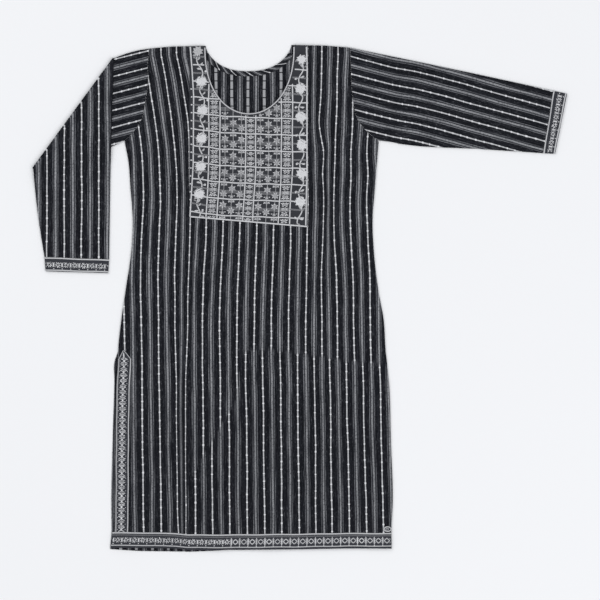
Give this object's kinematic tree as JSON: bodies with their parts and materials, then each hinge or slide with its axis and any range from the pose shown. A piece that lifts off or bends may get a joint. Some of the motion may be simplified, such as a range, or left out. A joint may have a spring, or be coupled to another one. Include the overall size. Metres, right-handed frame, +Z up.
{
  "type": "kurta tunic",
  "caption": "Long striped cotton kurta tunic laid flat, with an embroidered yoke, scoop neck, border tapes, side slits and one sleeve folded over.",
  "frame": {"origin": "on the table under the centre of the laid-out garment's box", "axes": "+Z up out of the garment's front, +Y towards its shoulders, +X towards its extended sleeve"},
  "size_m": [1.1228, 1.064, 0.0066],
  "materials": {
    "striped_cotton": "matt handloom cotton with fine white and grey warp stripes",
    "embroidered_yoke": "matt cotton covered with off-white thread embroidery",
    "woven_border": "matt figured border tape, off-white motifs on charcoal",
    "piping": "matt off-white corded edge"
  },
  "bodies": {
    "root": {"back_panel": "striped_cotton", "front_panel": "striped_cotton", "sleeve_right": "striped_cotton", "sleeve_left": "striped_cotton", "back_neck_facing": "striped_cotton", "neck_yoke": "embroidered_yoke", "neck_piping": "piping", "hem_border": "woven_border", "slit_border_left": "woven_border", "slit_border_right": "woven_border", "cuff_border_right": "woven_border", "cuff_border_left": "woven_border"}
  },
  "joints": []
}
